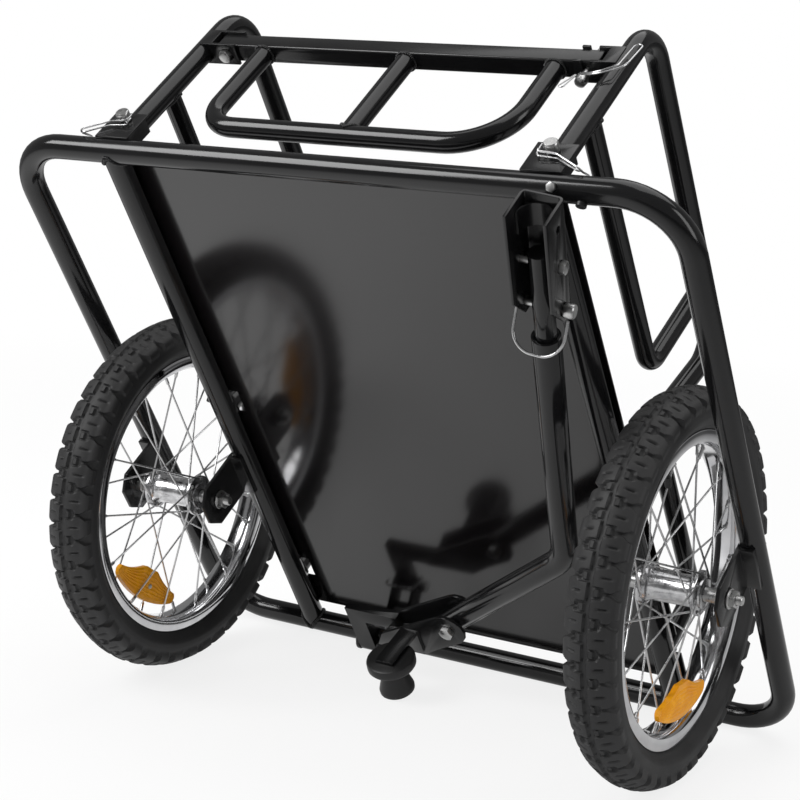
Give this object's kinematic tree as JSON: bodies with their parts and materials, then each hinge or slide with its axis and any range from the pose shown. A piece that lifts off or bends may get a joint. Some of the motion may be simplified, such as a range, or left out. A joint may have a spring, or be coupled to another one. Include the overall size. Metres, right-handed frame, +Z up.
{
  "type": "bike trailer",
  "caption": "Flatbed bike trailer for a dog or cargo: bent tube frame, spoked wheels, side guards, swinging tail gate and a folding tow arm; stored standing on its front rail.",
  "frame": {"origin": "on the ground, under the middle of the bounding box of the trailer as it stands on its wheels and its front rail", "axes": "+X across the trailer along the axles, +Y away from the side where the tow arm lies, +Z up"},
  "size_m": [0.7688, 0.5015, 0.7403],
  "materials": {
    "powder_coat": "gloss black powder coat",
    "panel": "high gloss black sheet",
    "chrome": "bright chrome",
    "zinc": "bright zinc plate",
    "tyre": "matte black tread rubber",
    "rubber": "matte black rubber",
    "amber": "amber reflector plastic"
  },
  "bodies": {
    "frame": {"outer_loop": "powder_coat", "bed_side_tube_left": "powder_coat", "bed_side_tube_right": "powder_coat", "floor_panel": "panel", "guard_arch_left": "powder_coat", "guard_arch_right": "powder_coat", "guard_inner_loop_left": "powder_coat", "guard_inner_loop_right": "powder_coat", "guard_front_rail_left": "powder_coat", "guard_front_rail_right": "powder_coat", "guard_socket_left": "powder_coat", "guard_socket_right": "powder_coat", "gate_bracket_left": "powder_coat", "gate_bracket_right": "powder_coat", "gate_bolt_left": "zinc", "gate_nut_left": "zinc", "inner_bracket_left": "powder_coat", "inner_bracket_right": "powder_coat", "outer_bracket_left": "powder_coat", "outer_bracket_right": "powder_coat", "axle_left": "zinc", "axle_right": "zinc", "axle_nut_inner_left": "zinc", "axle_nut_inner_right": "zinc", "axle_nut_outer_left": "zinc", "axle_nut_outer_right": "zinc", "front_bracket": "powder_coat"},
    "wheel_left": {"tyre_left": "tyre", "rim_left": "chrome", "spoked_hub_left": "chrome", "reflector_left": "amber", "valve_left": "rubber"},
    "wheel_right": {"tyre_right": "tyre", "rim_right": "chrome", "spoked_hub_right": "chrome", "reflector_right": "amber", "valve_right": "rubber"},
    "fork": {"arm_yoke": "powder_coat", "arm_bolt": "zinc", "arm_nut": "zinc", "foot_cup": "rubber", "rubber_foot": "rubber"},
    "arm": {"arm_tube": "powder_coat", "hitch_stem": "powder_coat", "hitch_channel": "powder_coat", "hitch_collar": "powder_coat", "hitch_bolt": "zinc", "hitch_nut": "zinc", "hitch_lock_pin": "zinc"},
    "ring": {"hitch_pin_ring": "zinc"},
    "gate": {"gate_crossbar": "powder_coat", "gate_loop": "powder_coat", "gate_clip_pin": "zinc", "gate_clip_wire": "zinc"},
    "clip_left": {"clip_pin_left": "zinc", "clip_wire_left": "zinc"},
    "clip_right": {"clip_pin_right": "zinc", "clip_wire_right": "zinc"},
    "fold_pin": {"fold_pin": "zinc", "fold_pin_wire": "zinc"}
  },
  "joints": [
    {"name": "wheel_left_spin", "type": "hinge", "parent": "frame", "child": "wheel_left", "pos_m": [-0.306, 0.0221, 0.2025], "axis": [1, 0, 0], "continuous": true},
    {"name": "wheel_right_spin", "type": "hinge", "parent": "frame", "child": "wheel_right", "pos_m": [0.306, 0.0221, 0.2025], "axis": [1, 0, 0], "continuous": true},
    {"name": "arm_fold", "type": "hinge", "parent": "frame", "child": "fork", "pos_m": [-0.13, 0.17191, 0.0176], "axis": [1, 0, 0], "range_deg": [0, 180]},
    {"name": "arm_swing", "type": "hinge", "parent": "fork", "child": "arm", "pos_m": [0.018, 0.10378, 0.09232], "axis": [0, 0.8307, 0.5568], "range_deg": [-40, 5]},
    {"name": "ring_swing", "type": "hinge", "parent": "arm", "child": "ring", "pos_m": [0.2428, -0.16765, 0.49727], "axis": [0.9871, 0.089, -0.1328], "range_deg": [-100, 10]},
    {"name": "gate_swing", "type": "hinge", "parent": "frame", "child": "gate", "pos_m": [-0.20851, -0.02145, 0.70662], "axis": [0, -0.8307, -0.5568], "range_deg": [0, 100]},
    {"name": "clip_left_pull", "type": "slide", "parent": "frame", "child": "clip_left", "axis": [0, -0.5568, 0.8307], "range_m": [0, 0.04]},
    {"name": "clip_right_pull", "type": "slide", "parent": "frame", "child": "clip_right", "axis": [0, -0.5568, 0.8307], "range_m": [0, 0.04]},
    {"name": "fold_pin_pull", "type": "slide", "parent": "frame", "child": "fold_pin", "axis": [1, 0, 0], "range_m": [0, 0.045]}
  ]
}
